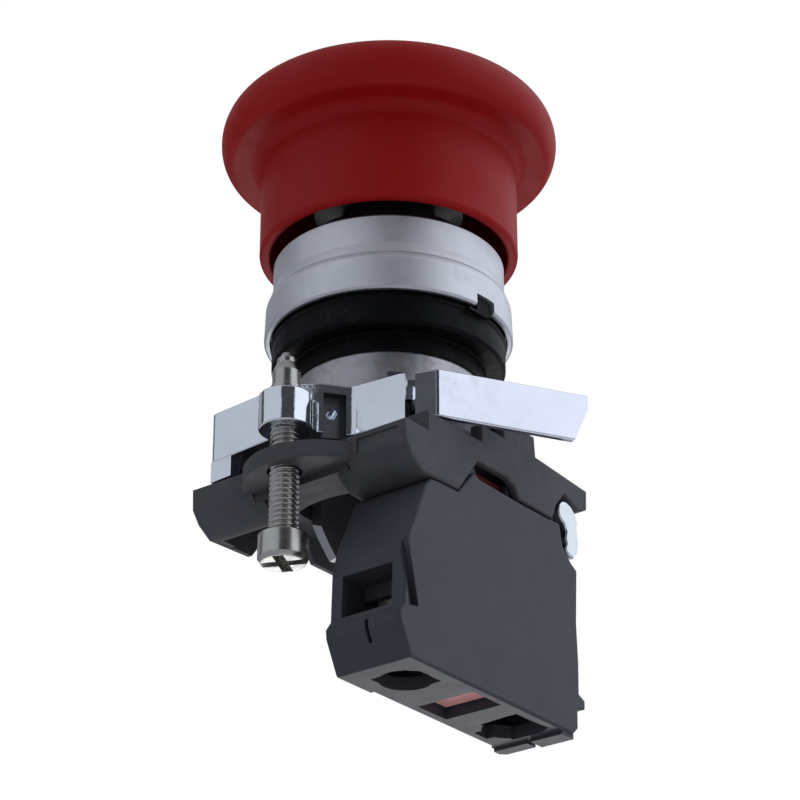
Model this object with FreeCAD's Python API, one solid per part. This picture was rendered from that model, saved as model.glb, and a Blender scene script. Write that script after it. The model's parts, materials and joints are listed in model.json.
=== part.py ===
import FreeCAD, Part
import math
import os

from FreeCAD import Vector as V

os.makedirs("parts", exist_ok=True)

# Emergency stop push button, 40 mm mushroom head on a 22.5 mm panel hole, with
# a rear fixing collar, a three-bay block carrier and one contact block.
# Frame: origin at the centre of the gasket's panel face (panel front, z = 0),
# +Z out of the panel towards the mushroom, X across the three bays,
# Y along the length of the contact block. Millimetres.

# ---- driving dimensions -------------------------------------------------
HEAD_R = 20.05           # mushroom outside radius
HEAD_TOP = 39.2          # crest of the dome
RIM_Z = 30.65            # widest level of the mushroom
SKIRT_R = 15.2          # mushroom skirt outside
SKIRT_RI = 13.95         # mushroom skirt inside
SKIRT_Z = 15.2           # lower lip of the skirt
TRAVEL = 4.3             # full push of the head
BEZEL_R = 14.44          # bezel, widest
BEZEL_TOP_R = 13.5
BEZEL_Z0 = 3.9
BEZEL_Z1 = 8.0
BEZEL_Z2 = 10.2
BEZEL_Z3 = 13.9
GASKET_R = 13.52
TUBE_R = 10.95           # head tube through the panel hole
TUBE_RI = 9.6
SLEEVE_R = 11.2          # gasket's centring sleeve in the 22.5 mm hole
STEM_R = 5.5
PIVOT_R = 4.0            # stem's top journal, the head turns on it
RUN = 0.05               # running clearance on radius
COLLAR_Z0 = -7.2         # collar, face towards the panel
COLLAR_Z1 = -13.3        # collar, face towards the blocks
SCREW_Y = -18.2          # clamp screw axis
BOSS_R = 3.0             # collar boss round the clamp screw
BOSS_Z0 = -9.75
BOSS_Z1 = -14.0
SCREW_R = 1.65
CARRIER_X = 15.0         # half width of the carrier, three 10 mm bays
BLK_X0 = 5.2             # contact block, inner face
BLK_X1 = 14.9            # contact block, outer face
BLK_Z = -42.8            # contact block, terminal face
WALL = 1.2
PL_X0, PL_X1 = 6.9, 12.5  # contact block plunger
PL_Y0, PL_Y1 = -1.9, 1.3


# ---- helpers --------------------------------------------------------------
def cyl(r, z0, z1, x=0.0, y=0.0):
    return Part.makeCylinder(r, z1 - z0, V(x, y, z0), V(0, 0, 1))


def tube(ro, ri, z0, z1, x=0.0, y=0.0):
    return cyl(ro, z0, z1, x, y).cut(cyl(ri, z0 - 1, z1 + 1, x, y))


def box(x0, x1, y0, y1, z0, z1):
    return Part.makeBox(x1 - x0, y1 - y0, z1 - z0, V(x0, y0, z0))


def poly_edges(pts):
    """Closed wire from points; an item with 4 numbers is an arc's mid and end."""
    edges = []
    start = V(*pts[0])
    last = start
    for p in pts[1:]:
        if len(p) == 6:
            mid, end = V(*p[:3]), V(*p[3:])
            edges.append(Part.Arc(last, mid, end).toShape())
            last = end
        else:
            end = V(*p)
            edges.append(Part.makeLine(last, end))
            last = end
    if last.distanceToPoint(start) > 1e-7:
        edges.append(Part.makeLine(last, start))
    return Part.Face(Part.Wire(edges))


def revolve(prof, angle=360.0):
    """prof: (r, z) points, or (r, z, r, z) for an arc through mid to end."""
    pts = []
    for p in prof:
        if len(p) == 2:
            pts.append((p[0], 0, p[1]))
        else:
            pts.append((p[0], 0, p[1], p[2], 0, p[3]))
    s = poly_edges(pts).revolve(V(0, 0, 0), V(0, 0, 1), angle)
    return s if s.ShapeType == "Solid" else s.Solids[0]


def plate_xy(pts, z0, z1):
    return poly_edges([(x, y, z0) for x, y in pts]).extrude(V(0, 0, z1 - z0))


def slab_x(pts, x0, x1):
    """Extrude a (y, z) outline along X."""
    return poly_edges([(x0, y, z) for y, z in pts]).extrude(V(x1 - x0, 0, 0))


def slab_y(pts, y0, y1):
    return poly_edges([(x, y0, z) for x, z in pts]).extrude(V(0, y1 - y0, 0))


def sector(r, a0, a1, z0, z1):
    """Pie sector of radius r between two angles in degrees."""
    s = Part.makeCylinder(r, z1 - z0, V(0, 0, z0), V(0, 0, 1), a1 - a0)
    s.rotate(V(0, 0, 0), V(0, 0, 1), a0)
    return s


def edges_at(shape, test):
    return [e for e in shape.Edges if test(e)]


def soften(shape, r, test):
    """Fillet the chosen edges; keep the sharp solid when it cannot be done."""
    es = edges_at(shape, test)
    if not es:
        return shape
    try:
        f = shape.makeFillet(r, es)
        if f.isValid() and f.Solids and abs(f.Volume - shape.Volume) < 0.3 * shape.Volume:
            return f
    except Exception:
        pass
    return shape


def round_off(shape, radii, test, tag=""):
    """Fillet the chosen edges with the first radius that gives a good solid."""
    es = edges_at(shape, test)
    for r in radii:
        try:
            f = shape.makeFillet(r, es)
            if f.isValid() and len(f.Solids) == 1 and 0.9 * shape.Volume < f.Volume < 1.02 * shape.Volume:
                print("rounded %s r %.2f on %d edges" % (tag, r, len(es)))
                return f.Solids[0]
        except Exception:
            pass
    print("left sharp: %s (%d edges)" % (tag, len(es)))
    return shape


def in_plane(e, axis, value, tol=1e-4):
    """The edge lies in the plane axis = value."""
    bb = e.BoundBox
    lo, hi = {"x": (bb.XMin, bb.XMax), "y": (bb.YMin, bb.YMax), "z": (bb.ZMin, bb.ZMax)}[axis]
    return abs(lo - value) < tol and abs(hi - value) < tol


def prism_corner(pts, ax, tol=1e-3, least=0.7):
    """Test for the edges of a prism at the outline's convex corners; its two sides
    must be longer than least."""
    area = 0.0
    m = len(pts)
    for i in range(m):
        a, b = pts[i], pts[(i + 1) % m]
        area += a[0] * b[1] - b[0] * a[1]
    keep = []
    for i in range(m):
        a, b, c = pts[i - 1], pts[i], pts[(i + 1) % m]
        cr = (b[0] - a[0]) * (c[1] - b[1]) - (b[1] - a[1]) * (c[0] - b[0])
        la, lc = math.hypot(b[0] - a[0], b[1] - a[1]), math.hypot(c[0] - b[0], c[1] - b[1])
        if cr * area > 0 and min(la, lc) > least and abs(cr) / (la * lc) > 0.2:
            keep.append(b)

    def test(e):
        if len(e.Vertexes) != 2:
            return False
        p, q = e.Vertexes[0].Point, e.Vertexes[1].Point
        if ax == "x":
            if abs(p.x - q.x) < 1e-3:
                return False
            k0, k1 = (p.y, p.z), (q.y, q.z)
        else:
            if abs(p.z - q.z) < 1e-3:
                return False
            k0, k1 = (p.x, p.y), (q.x, q.y)
        if math.hypot(k0[0] - k1[0], k0[1] - k1[1]) > tol:
            return False
        return any(math.hypot(k0[0] - c[0], k0[1] - c[1]) < tol for c in keep)
    return test


def vertical(e):
    if len(e.Vertexes) != 2:
        return False
    a, b = e.Vertexes[0].Point, e.Vertexes[1].Point
    return abs(a.x - b.x) < 1e-6 and abs(a.y - b.y) < 1e-6 and abs(a.z - b.z) > 1e-6


def coil(r, wire, z0, z1, turns):
    """Round-wire spring: each half turn is a half torus, tilted one way and then
    the other, so that the half turns meet on the same circle and tangent."""
    pitch = (z1 - z0 - wire) / float(turns)
    out = None
    for k in range(2 * turns):
        s = 1.0 if k % 2 == 0 else -1.0
        z = z0 + wire / 2.0 + k * pitch / 2.0
        disc = Part.Face(Part.Wire([Part.makeCircle(wire / 2.0, V(s * r, 0, z), V(0, 1, 0))]))
        half = disc.revolve(V(0, 0, z + pitch / 4.0), V(s * pitch / (4.0 * r), 0, 1), 180)
        half = half if half.ShapeType == "Solid" else half.Solids[0]
        out = half if out is None else out.fuse(half)
    return out.Solids[0]


def screw_body(r, length, pitch, depth, chamfer=0.5):
    """Threaded shank as ring-shaped ridges of the real pitch, axis on Z, from 0
    down to -length."""
    prof = [(0.0, 0.0)]
    rr = r - depth
    prof.append((rr, 0.0))
    z = -chamfer
    prof.append((rr, z))
    while z - pitch > -length + 0.2:
        prof.append((r, z - pitch * 0.45))
        prof.append((r, z - pitch * 0.6))
        z -= pitch
        prof.append((rr, z))
    prof.append((rr, -length))
    prof.append((0.0, -length))
    return revolve(prof)


parts = {}

# ---- mushroom cap: red moulded shell ---------------------------------------
EDGE_R, EDGE_Z = 16.8, 34.6      # where the dome meets the rounded edge
UNDER_R, UNDER_Z = 18.4, 27.85   # where the rounded edge meets the underside
sag = HEAD_TOP - EDGE_Z
dome_r = (EDGE_R ** 2 + sag ** 2) / (2 * sag)
z_mid = HEAD_TOP - dome_r + math.sqrt(dome_r ** 2 - 8.6 ** 2)


def oval(r0, z0, ar, az, a0, a1, n=3):
    """Two arcs along an oval about (r0, z0): half-axes ar and az, angles in degrees."""
    out = []
    for k in range(n):
        am = math.radians(a0 + (a1 - a0) * (k + 0.5) / n)
        ae = math.radians(a0 + (a1 - a0) * (k + 1.0) / n)
        out.append((r0 + ar * math.cos(am), z0 + az * math.sin(am), r0 + ar * math.cos(ae), z0 + az * math.sin(ae)))
    return out


a_start = 78.0
r_s = EDGE_R + (HEAD_R - EDGE_R) * math.cos(math.radians(a_start))
z_s = RIM_Z + (EDGE_Z - RIM_Z) * math.sin(math.radians(a_start))
cap = revolve([
    (0, HEAD_TOP),
    (8.6, z_mid, r_s, z_s),
] + oval(EDGE_R, RIM_Z, HEAD_R - EDGE_R, EDGE_Z - RIM_Z, a_start, 0.0)
  + oval(UNDER_R, RIM_Z, HEAD_R - UNDER_R, RIM_Z - UNDER_Z, 0.0, -90.0, 2) + [
    (SKIRT_R + 1.6, UNDER_Z),
    (SKIRT_R + 1.6 - 1.6 * math.sin(math.radians(45)), UNDER_Z - 1.6 + 1.6 * math.cos(math.radians(45)), SKIRT_R, UNDER_Z - 1.6),
    (SKIRT_R, SKIRT_Z + 0.5),
    (SKIRT_R - 0.12, SKIRT_Z + 0.12, SKIRT_R - 0.5, SKIRT_Z),
    (SKIRT_RI + 0.15, SKIRT_Z),
    (SKIRT_RI, SKIRT_Z + 0.15),
    (SKIRT_RI, 28.0),
    (13.3, 28.6),
    (13.3, 33.2),
    (12.6, 34.0),
    (0, 34.0),
])
boss = tube(12.3, 10.8, 30.0, 34.2)
cap = cap.fuse(boss)
for k in range(6):
    rib = box(3.0, 10.9, -0.5, 0.5, 32.4, 34.2)
    rib.rotate(V(0, 0, 0), V(0, 0, 1), 60 * k)
    cap = cap.fuse(rib)
cap = cap.removeSplitter()
parts["mushroom_cap"] = cap

# ---- hub snapped inside the cap, turns on the stem's journal ----------------
hub = revolve([
    (PIVOT_R + RUN, 22.6), (6.5, 22.6), (6.5, 27.6), (12.9, 27.6), (12.9, 30.0),
    (PIVOT_R + RUN, 30.0)])
for k in range(3):
    w = sector(11.8, 15 + 120 * k, 85 + 120 * k, 27.0, 30.5).cut(cyl(8.6, 26, 31))
    hub = hub.cut(w)
parts["mushroom_hub"] = hub
parts["twist_spring"] = coil(7.5, 0.8, 22.7, 27.4, 4)

# ---- push stem: one turned plastic piece ------------------------------------
stem = revolve([
    (0, 31.4), (PIVOT_R - 0.4, 31.4), (PIVOT_R, 31.0), (PIVOT_R, 30.9), (PIVOT_R - 0.6, 30.9),
    (PIVOT_R - 0.6, 30.1), (PIVOT_R, 30.1), (PIVOT_R, 22.5), (8.8, 22.5), (8.8, 21.3),
    (STEM_R, 21.3), (STEM_R, 19.9), (STEM_R - 0.45, 19.5), (STEM_R - 0.45, 19.0), (STEM_R, 18.6),
    (STEM_R, 15.6), (STEM_R - 0.45, 15.2), (STEM_R - 0.45, 14.7), (STEM_R, 14.3),
    (STEM_R, 9.7), (9.2, 9.7), (9.2, 8.4), (STEM_R, 8.4), (STEM_R, -3.0), (4.5, -3.6),
    (4.5, -11.0), (0, -11.0)])
parts["push_stem"] = stem
parts["stem_circlip"] = tube(5.4, PIVOT_R - 0.6, 30.15, 30.85).cut(
    sector(8, -25, 25, 29, 32))
foot = tube(9.3, 4.5, -11.0, -9.2)
foot = foot.fuse(tube(5.9, 4.5, -9.2, -6.8)).removeSplitter()
parts["pusher_foot"] = foot
parts["return_spring"] = coil(7.1, 0.9, -0.45, 8.35, 4)
parts["detent_ring"] = Part.makeTorus(6.25, 0.6, V(0, 0, 14.95), V(0, 0, 1)).cut(
    sector(9, -12, 12, 13, 17))

# ---- head body: zinc tube with its panel flange and bayonet tongues -----------
head = revolve([
    (TUBE_RI, -10.5), (TUBE_R, -10.5), (TUBE_R, 3.0), (12.4, 3.0), (12.4, 5.2),
    (11.8, 5.2), (11.8, 13.5), (10.2, 16.4), (6.9, 16.4), (6.9, 15.8), (7.6, 15.8), (7.6, 14.1), (STEM_R + RUN, 14.1),
    (STEM_R + RUN, 9.8), (TUBE_RI, 9.8), (TUBE_RI, -0.5),
    (5.6, -0.5), (5.6, -2.0), (TUBE_RI, -2.0)])
# the three rear tongues of the tube; the one in the open bay is long and tapered
def tongue(a_mid, half, z_tip, tip_half):
    t = tube(TUBE_R, TUBE_RI, z_tip, -10.4)
    keep = sector(14, a_mid - half, a_mid + half, z_tip - 1, -9)
    t = t.common(keep)
    zc = -15.0 if z_tip < -17 else z_tip + 1.5
    w = math.radians(half) * TUBE_R * 1.15
    wt = math.radians(tip_half) * TUBE_R
    mask = poly_edges([(5, -w, -9), (5, w, -9), (5, w, zc), (5, wt, z_tip - 0.01), (5, -wt, z_tip - 0.01), (5, -w, zc)]).extrude(V(9, 0, 0))
    mask.rotate(V(0, 0, 0), V(0, 0, 1), a_mid)
    return t.common(mask)


head = head.fuse(tongue(164, 17, -19.4, 2.0))
head = head.fuse(tongue(44, 15, -14.6, 9.0)).fuse(tongue(284, 15, -14.6, 9.0))
# inclined bayonet slots in the tube that the lock ring grips
for a in (104, 224, 344):
    slot = box(8.5, 12.5, -1.3, 1.3, -11.5, -8.6)
    slot.rotate(V(0, 0, 0), V(0, 0, 1), a)
    head = head.cut(slot)
notch = box(10.2, 12, -0.9, 0.9, -6.3, -4.9)
notch.rotate(V(0, 0, 0), V(0, 0, 1), -48)
head = head.cut(notch).removeSplitter()
parts["head_body"] = head

# ---- stem seal: rubber lip ring in the head's mouth ---------------------------
parts["stem_seal"] = revolve([
    (STEM_R + RUN, 15.9), (6.85, 15.9), (6.85, 16.4), (7.4, 16.4), (7.4, 16.7), (6.3, 16.9), (STEM_R + RUN, 16.9)])

# ---- bezel: turned zinc ring ---------------------------------------------------
seam = 8.72
bezel = revolve([
    (13.75, BEZEL_Z0), (BEZEL_R - 0.25, BEZEL_Z0), (BEZEL_R, BEZEL_Z0 + 0.25), (14.3, BEZEL_Z1),
    (14.0, seam - 0.09), (13.8, seam), (13.94, seam + 0.09),
    (BEZEL_TOP_R, BEZEL_Z2), (BEZEL_TOP_R, BEZEL_Z3 - 0.4), (BEZEL_TOP_R - 0.4, BEZEL_Z3), (11.8, BEZEL_Z3),
    (11.8, 5.2), (13.75, 5.2)])
key = box(12.9, 15.0, -1.55, 1.55, 3.0, 5.35)
KEY_A = -2.0
key.rotate(V(0, 0, 0), V(0, 0, 1), KEY_A)
bezel = bezel.cut(key)
parts["bezel_ring"] = bezel.removeSplitter()

# ---- gasket: moulded rubber with centring sleeve, bead and keying lug ------------
gasket = revolve([
    (TUBE_R, -2.4), (SLEEVE_R - 0.08, -2.4), (SLEEVE_R, -2.2), (SLEEVE_R, 0.0), (GASKET_R - 0.35, 0.0), (GASKET_R, 0.35),
    (GASKET_R, 3.0), (GASKET_R + 0.12, 3.15), (GASKET_R + 0.12, 3.5), (GASKET_R, 3.65),
    (GASKET_R, 5.2), (12.4, 5.2), (12.4, 3.0), (TUBE_R, 3.0)])
lug = box(13.0, 14.0, -1.2, 1.2, 3.3, 5.1).fuse(box(13.0, 14.05, -2.6, 0.6, 3.05, 3.35))
lug.rotate(V(0, 0, 0), V(0, 0, 1), KEY_A)
gasket = gasket.fuse(lug).removeSplitter()
parts["gasket"] = gasket

# ---- fixing collar: die-cast zinc ------------------------------------------------
outline = [(-13.7, -9.0), (-12.9, -15.9), (-2.2, -16.75), (-0.6, -16.2), (1.9, -14.6), (3.75, -12.1), (4.5, -11.75),
           (10.2, -11.15), (10.75, -10.9), (9.5, -8.6), (0, -2), (-10, -2)]
collar = plate_xy(outline, COLLAR_Z1, COLLAR_Z0)
collar = soften(collar, 0.9, lambda e: vertical(e) and e.Vertexes[0].Point.x < -12.5 and e.Vertexes[0].Point.y < -15)
collar = soften(collar, 0.8, lambda e: vertical(e) and abs(e.Vertexes[0].Point.x - 1.9) < 0.01)
collar = soften(collar, 0.9, lambda e: vertical(e) and abs(e.Vertexes[0].Point.x - 4.5) < 0.01)
collar = soften(collar, 0.45, lambda e: vertical(e) and (abs(e.Vertexes[0].Point.x - 10.2) < 0.01))
collar = round_off(collar, (0.2, 0.15), lambda e: (in_plane(e, "z", COLLAR_Z0) or in_plane(e, "z", COLLAR_Z1)) and e.BoundBox.YMin < -8.7, "collar rims")
ring = sector(13.6, -44, 34, -9.6, COLLAR_Z0).fuse(sector(14.4, 26, 246, -9.6, COLLAR_Z0)).fuse(cyl(12.0, -9.6, COLLAR_Z0))
skirt = sector(14.6, 30, 246, COLLAR_Z1, COLLAR_Z0)
collar = collar.fuse(ring).fuse(skirt)
boss_c = round_off(cyl(BOSS_R, BOSS_Z1, BOSS_Z0, 0, SCREW_Y), (0.3,), lambda e: in_plane(e, "z", BOSS_Z0) or in_plane(e, "z", BOSS_Z1), "collar boss")
collar = collar.fuse(boss_c).fuse(box(-BOSS_R, 1.8, SCREW_Y, -14.8, COLLAR_Z1, BOSS_Z0))
# foot at the wing's outer corner, it rests on the carrier's lobe
foot2 = plate_xy([(-12.75, -15.85), (-9.6, -16.1), (-9.4, -14.6), (-12.6, -14.4)], -15.7, COLLAR_Z1 + 0.1)
collar = collar.fuse(foot2)
# bore for the tube, room for the lock ring, and its window
collar = collar.cut(cyl(TUBE_R + 0.2, -20, 0))
collar = collar.cut(sector(13.55, -46.0, 246.5, COLLAR_Z1 - 1, -9.6))
# pocket in the slanting face beside the boss, with a small hole in its back
d = V(0.595, 0.804, 0)
p0 = V(1.9, -14.6, 0) + d * 0.35
p1 = V(1.9, -14.6, 0) + d * 2.95
inw = V(-0.804, 0.595, 0)
pocket = plate_xy([(p0.x - inw.x, p0.y - inw.y), (p1.x - inw.x, p1.y - inw.y), (p1.x + inw.x * 1.1, p1.y + inw.y * 1.1),
                   (p0.x + inw.x * 1.1, p0.y + inw.y * 1.1)], COLLAR_Z1 - 1, -8.35)
collar = collar.cut(pocket)
hole = Part.makeCylinder(0.65, 3.0, V(2.75, -13.3, -10.4), inw)
collar = collar.cut(hole)
collar = collar.cut(cyl(SCREW_R + RUN, -20, -5, 0, SCREW_Y))
collar = collar.cut(cyl(1.9, BOSS_Z0 - 0.05, -7.0, 0, SCREW_Y))
collar = collar.removeSplitter()
if len(collar.Solids) > 1:
    collar = max(collar.Solids, key=lambda s: s.Volume)
parts["fixing_collar"] = collar

# ---- lock ring with its lever: turns on the tube ------------------------------------
u = V(0.511, 0.8596, 0)          # along the lever's outer face
n = V(0.8596, -0.511, 0)         # out of the face
A = V(14.15, -9.55, 0)           # bend of the lever
L_LEN = 18.1
T_LEV = 0.9
B = A + u * L_LEN
LEV_Z1 = -13.0
ARM_Z1 = -11.2
root = V(11.75, -10.35, 0)
un = (A - root)
un = un * (1.0 / un.Length)
nn = V(un.y, -un.x, 0)
Bi = B - n * T_LEV
# mitred inner corner at the bend
ti = (root - nn * T_LEV)
den = un.x * u.y - un.y * u.x
Ai0 = A - n * T_LEV
tt = ((Ai0.x - ti.x) * u.y - (Ai0.y - ti.y) * u.x) / den
Ai = ti + un * tt
lever = plate_xy([(root.x, root.y), (A.x, A.y), (B.x, B.y), (Bi.x, Bi.y), (Ai.x, Ai.y), (ti.x, ti.y)], LEV_Z1, COLLAR_Z0)
lever = soften(lever, 0.7, lambda e: vertical(e) and abs(e.Vertexes[0].Point.x - A.x) < 0.1 and abs(e.Vertexes[0].Point.y - A.y) < 0.1)
# the free end slopes back towards the block side, with a rounded corner
wedge = poly_edges([
    (B.x + u.x * 0.1 + n.x, B.y + u.y * 0.1 + n.y, -8.6),
    (B.x + u.x * 3 + n.x, B.y + u.y * 3 + n.y, -8.6),
    (B.x + u.x * 3 + n.x, B.y + u.y * 3 + n.y, -14.5),
    (B.x - u.x * 2.2 + n.x, B.y - u.y * 2.2 + n.y, -14.5),
    (B.x - u.x * 1.75 + n.x, B.y - u.y * 1.75 + n.y, LEV_Z1),
]).extrude(n * -(T_LEV + 3.5))
lever = lever.cut(wedge)
lever = round_off(lever, (0.25, 0.18), lambda e: in_plane(e, "z", COLLAR_Z0) or in_plane(e, "z", LEV_Z1), "lever rims")
# stiffening rib along the inside, near the panel side
rb0 = Ai + u * 0.2
rb1 = Bi - u * 3.0
rib = plate_xy([(rb0.x, rb0.y), (rb1.x, rb1.y), (rb1.x - n.x * 0.5, rb1.y - n.y * 0.5), (rb0.x - n.x * 1.2, rb0.y - n.y * 1.2)], -8.4, -7.5)
lever = lever.fuse(rib)
claw = tube(13.3, TUBE_R + 0.25, -12.9, -9.85).common(sector(16, -45, 214, -14, -9))
am = Ai + u * 2.6
arm = plate_xy([(9.7, -8.9), (ti.x + 0.1, ti.y), (Ai.x, Ai.y), (am.x, am.y), (11.8, -6.0), (10.6, -4.9), (8.6, -7.4)], ARM_Z1, -9.85)
lock = claw.fuse(arm).cut(cyl(TUBE_R + 0.25, -14, -9)).fuse(lever).removeSplitter()
parts["lock_ring"] = lock

# ---- clamp screw and the pressure foot on its end --------------------------------------
SC_TOP = -9.6
SC_HEAD = -26.4
shank = screw_body(SCREW_R, SC_TOP - SC_HEAD, 0.6, 0.22, 0.3)
shank.translate(V(0, SCREW_Y, SC_TOP))
hd = revolve([(0, 0), (2.5, 0), (2.75, -0.25), (2.75, -2.75), (2.45, -3.2), (0, -3.2)])
hd.translate(V(0, SCREW_Y, SC_HEAD))
nose = cyl(1.0, -9.9, -5.4, 0, SCREW_Y)
screw = shank.fuse(hd).fuse(nose)
slotc = box(-4, 4, SCREW_Y - 0.45, SCREW_Y + 0.45, SC_HEAD - 4, SC_HEAD - 1.7)
slotc.rotate(V(0, SCREW_Y, 0), V(0, 0, 1), 25)
slotd = box(-1.7, 1.7, SCREW_Y - 0.4, SCREW_Y + 0.4, SC_HEAD - 4, SC_HEAD - 1.7)
slotd.rotate(V(0, SCREW_Y, 0), V(0, 0, 1), 115)
screw = screw.cut(slotc).cut(slotd).removeSplitter()
parts["clamp_screw"] = screw
pf = revolve([(1.06, -9.5), (1.62, -9.5), (1.75, -9.35), (1.75, -8.75), (1.55, -8.6), (1.55, -6.95), (1.4, -6.6), (0.45, -4.5), (0.0, -4.3), (0.0, -5.3), (1.06, -5.3)])
pf.translate(V(0, SCREW_Y, 0))
parts["pressure_foot"] = pf

# ---- block carrier: moulded plastic, three bays --------------------------------------------
zig = [(-16.4, -16.2), (-16.3, -18.6), (-15.2, -20.1), (-13.3, -21.3), (-6.8, -21.0), (-3.2, -16.3), (2.2, -16.3), (3.4, -16.85), (4.4, -18.15), (10.9, -18.1),
       (11.7, -16.1), (13.4, -14.2), (16.1, -15.3), (17.8, -14.6), (17.9, -12.2), (7.8, -11.6), (7.6, -9.2),
       (1.6, -9.2), (1.6, -11.5), (-2.6, -11.5), (-2.6, -13.6), (-12.3, -13.6), (-12.3, -15.9), (-15.9, -15.9)]
car = slab_x(zig, -CARRIER_X, CARRIER_X)
car = round_off(car, (0.3, 0.22), lambda e: in_plane(e, "x", CARRIER_X) or in_plane(e, "x", -CARRIER_X), "carrier ends")
# room for the collar and the lock ring between the raised cheeks
car = car.cut(cyl(13.75, -13.6, -5)).cut(sector(14.9, 27, 250, -13.6, -5)).cut(box(-12.6, 12.6, -4, 7.2, -13.6, -5)).cut(box(-12.6, 12.6, 0, 19, -13.6, -5))
# central hole
car = car.cut(cyl(TUBE_R + 0.35, -25, 0))
# bays, open towards the blocks
for bx in (-10.0, 0.0, 10.0):
    car = car.cut(box(bx - 4.2, bx + 4.2, -10.2, 13.2, -30, -15.0))
# the clamp screw's recess in the middle of the end lobe
mid = box(-6.4, 7.0, -17.5, -15.4, -25, -10)
car = car.cut(mid)
car = car.cut(cyl(2.2, -25, -10, 0, SCREW_Y))
car = car.cut(box(-5.2, 5.2, -17.5, -9.9, -25, -19.6))
# inset panel in the right lobe's face
car = car.cut(box(8.4, 14.0, -17.5, -16.15, -18.5, -16.7))
# the passage for the lever's arm and claw
lip = box(-6.2, 6.8, -15.8, -15.2, -19.6, -18.9)
car = car.fuse(lip)
# the bowed web the clamp screw passes through
web = poly_edges([(-7.7, -15.3, -18.9), (0.0, -20.95, -18.9, 8.1, -15.3, -18.9)]).extrude(V(0, 0, 2.0))
web = web.cut(cyl(1.95, -20, -15, 0, SCREW_Y))
car = car.fuse(web)
# the end lobe is hollow over the left bay
car = car.cut(slab_x([(-9.9, -17.9), (-14.3, -17.9), (-14.3, -19.2), (-12.5, -20.5), (-12.2, -22.0), (-9.9, -22.0)], -13.7, -7.3))
car = car.removeSplitter()
if len(car.Solids) > 1:
    car = max(car.Solids, key=lambda s: s.Volume)
parts["block_carrier"] = car

# ---- contact block ----------------------------------------------------------------------------
b_out = [(-10.2, -21.25), (-6.75, -21.15), (-3.9, -17.8), (-2.9, -18.3), (4.4, -18.4), (10.9, -18.3), (12.3, -18.1), (12.9, -20.8), (14.4, -22.2),
         (15.6, -22.9), (15.2, -29.4), (15.4, -34.2), (15.3, -37.7), (16.4, -38.2), (16.4, -39.2), (14.95, -39.5), (14.9, -41.9), (13.9, BLK_Z),
         (-15.3, BLK_Z), (-17.1, -39.2), (-17.2, -38.2), (-16.4, -37.1), (-16.2, -31.5), (-15.5, -28.8), (-12.6, -22.4), (-11.6, -21.4)]
neck = [(-9.9, -15.3), (-9.9, -21.0), (-9.0, -22.0), (12.6, -22.0), (12.9, -15.3), (7.5, -15.3), (6.6, -16.6), (-5.4, -16.6), (-6.3, -15.3)]
outer_blk = slab_x(b_out, BLK_X0, BLK_X1)
outer_blk = round_off(outer_blk, (0.4, 0.3, 0.2), prism_corner(b_out, "x", least=1.0), "block corners")
outer_blk = round_off(outer_blk, (0.35, 0.28, 0.2, 0.12), lambda e: in_plane(e, "x", BLK_X1), "block outer face")
neck_blk = slab_x(neck, 6.1, 13.9)
clear_car = parts["block_carrier"]
blk = outer_blk.fuse(neck_blk)
# keep the top of the block off the carrier by a hair
for d in ((0, 0, 0.12), (0, 0, -0.0), (0, 0.12, 0), (0, -0.12, 0), (0.12, 0, 0), (-0.12, 0, 0)):
    c2 = clear_car.copy()
    c2.translate(V(*[-q for q in d]))
    blk = blk.cut(c2)
if len(blk.Solids) > 1:
    blk = max(blk.Solids, key=lambda s: s.Volume)
# cavity
cav = box(BLK_X0 + WALL, BLK_X1 - WALL, -13.2, 12.4, -41.3, -23.2)
cav = cav.cut(box(0, 20, -14.0, -12.0, -33.8, -23.0))
blk = blk.cut(cav)
# clearance for the pusher foot's full travel
blk = blk.cut(cyl(9.7, -15.8, -10))
# plunger passage at the top, and the window at the bottom
blk = blk.cut(box(PL_X0 - 0.3, 13.5, PL_Y0 - 0.4, 4.1, -24.0, -10))
blk = blk.fuse(box(8.9, 14.0, -3.0, 4.8, -25.2, -24.2))
blk = blk.cut(box(PL_X0 - 0.3, 13.9, -3.3, 1.7, -45, -41.0))
# side window in the neck, beside the plunger
blk = blk.cut(box(13.3, 14.3, -2.4, 3.2, -18.1, -16.0))
# terminal openings, with their wire slots on the near side
blk = blk.cut(plate_xy([(7.6, -12.7), (11.9, -12.7), (13.1, -11.4), (13.1, -7.8), (8.9, -7.8), (7.6, -9.0)], -45, -41.0))
blk = blk.cut(cyl(2.9, -45, -41.0, 10.25, -10.2)).cut(cyl(3.0, -45, -41.0, 10.25, 8.2))
blk = blk.cut(plate_xy([(6.5, 6.9), (8.6, 6.9), (8.6, 5.2), (12.4, 4.9), (13.6, 4.9), (13.6, 7.2), (13.9, 10.6), (12.2, 11.3), (8.6, 11.3), (8.6, 9.3), (6.5, 9.3)], -45, -41.0))
# low feet and a step on the terminal face
blk = blk.fuse(plate_xy([(BLK_X0, 12.4), (9.7, 12.4), (9.7, 14.0), (BLK_X0 + 0.6, 14.0), (BLK_X0, 13.4)], -43.15, -42.0)).fuse(box(10.4, BLK_X1 - 0.3, 12.0, 14.2, -43.25, -41.9))
blk = blk.cut(box(BLK_X0 - 0.5, BLK_X0 + 0.45, -9.6, 12.0, -44, -42.25))
# wire entries in the two ends
blk = blk.cut(box(6.6, 13.2, -18, -12.5, -36.9, -32.2))
blk = blk.cut(box(7.0, 13.0, 11.9, 18, -36.9, -32.2))
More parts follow.
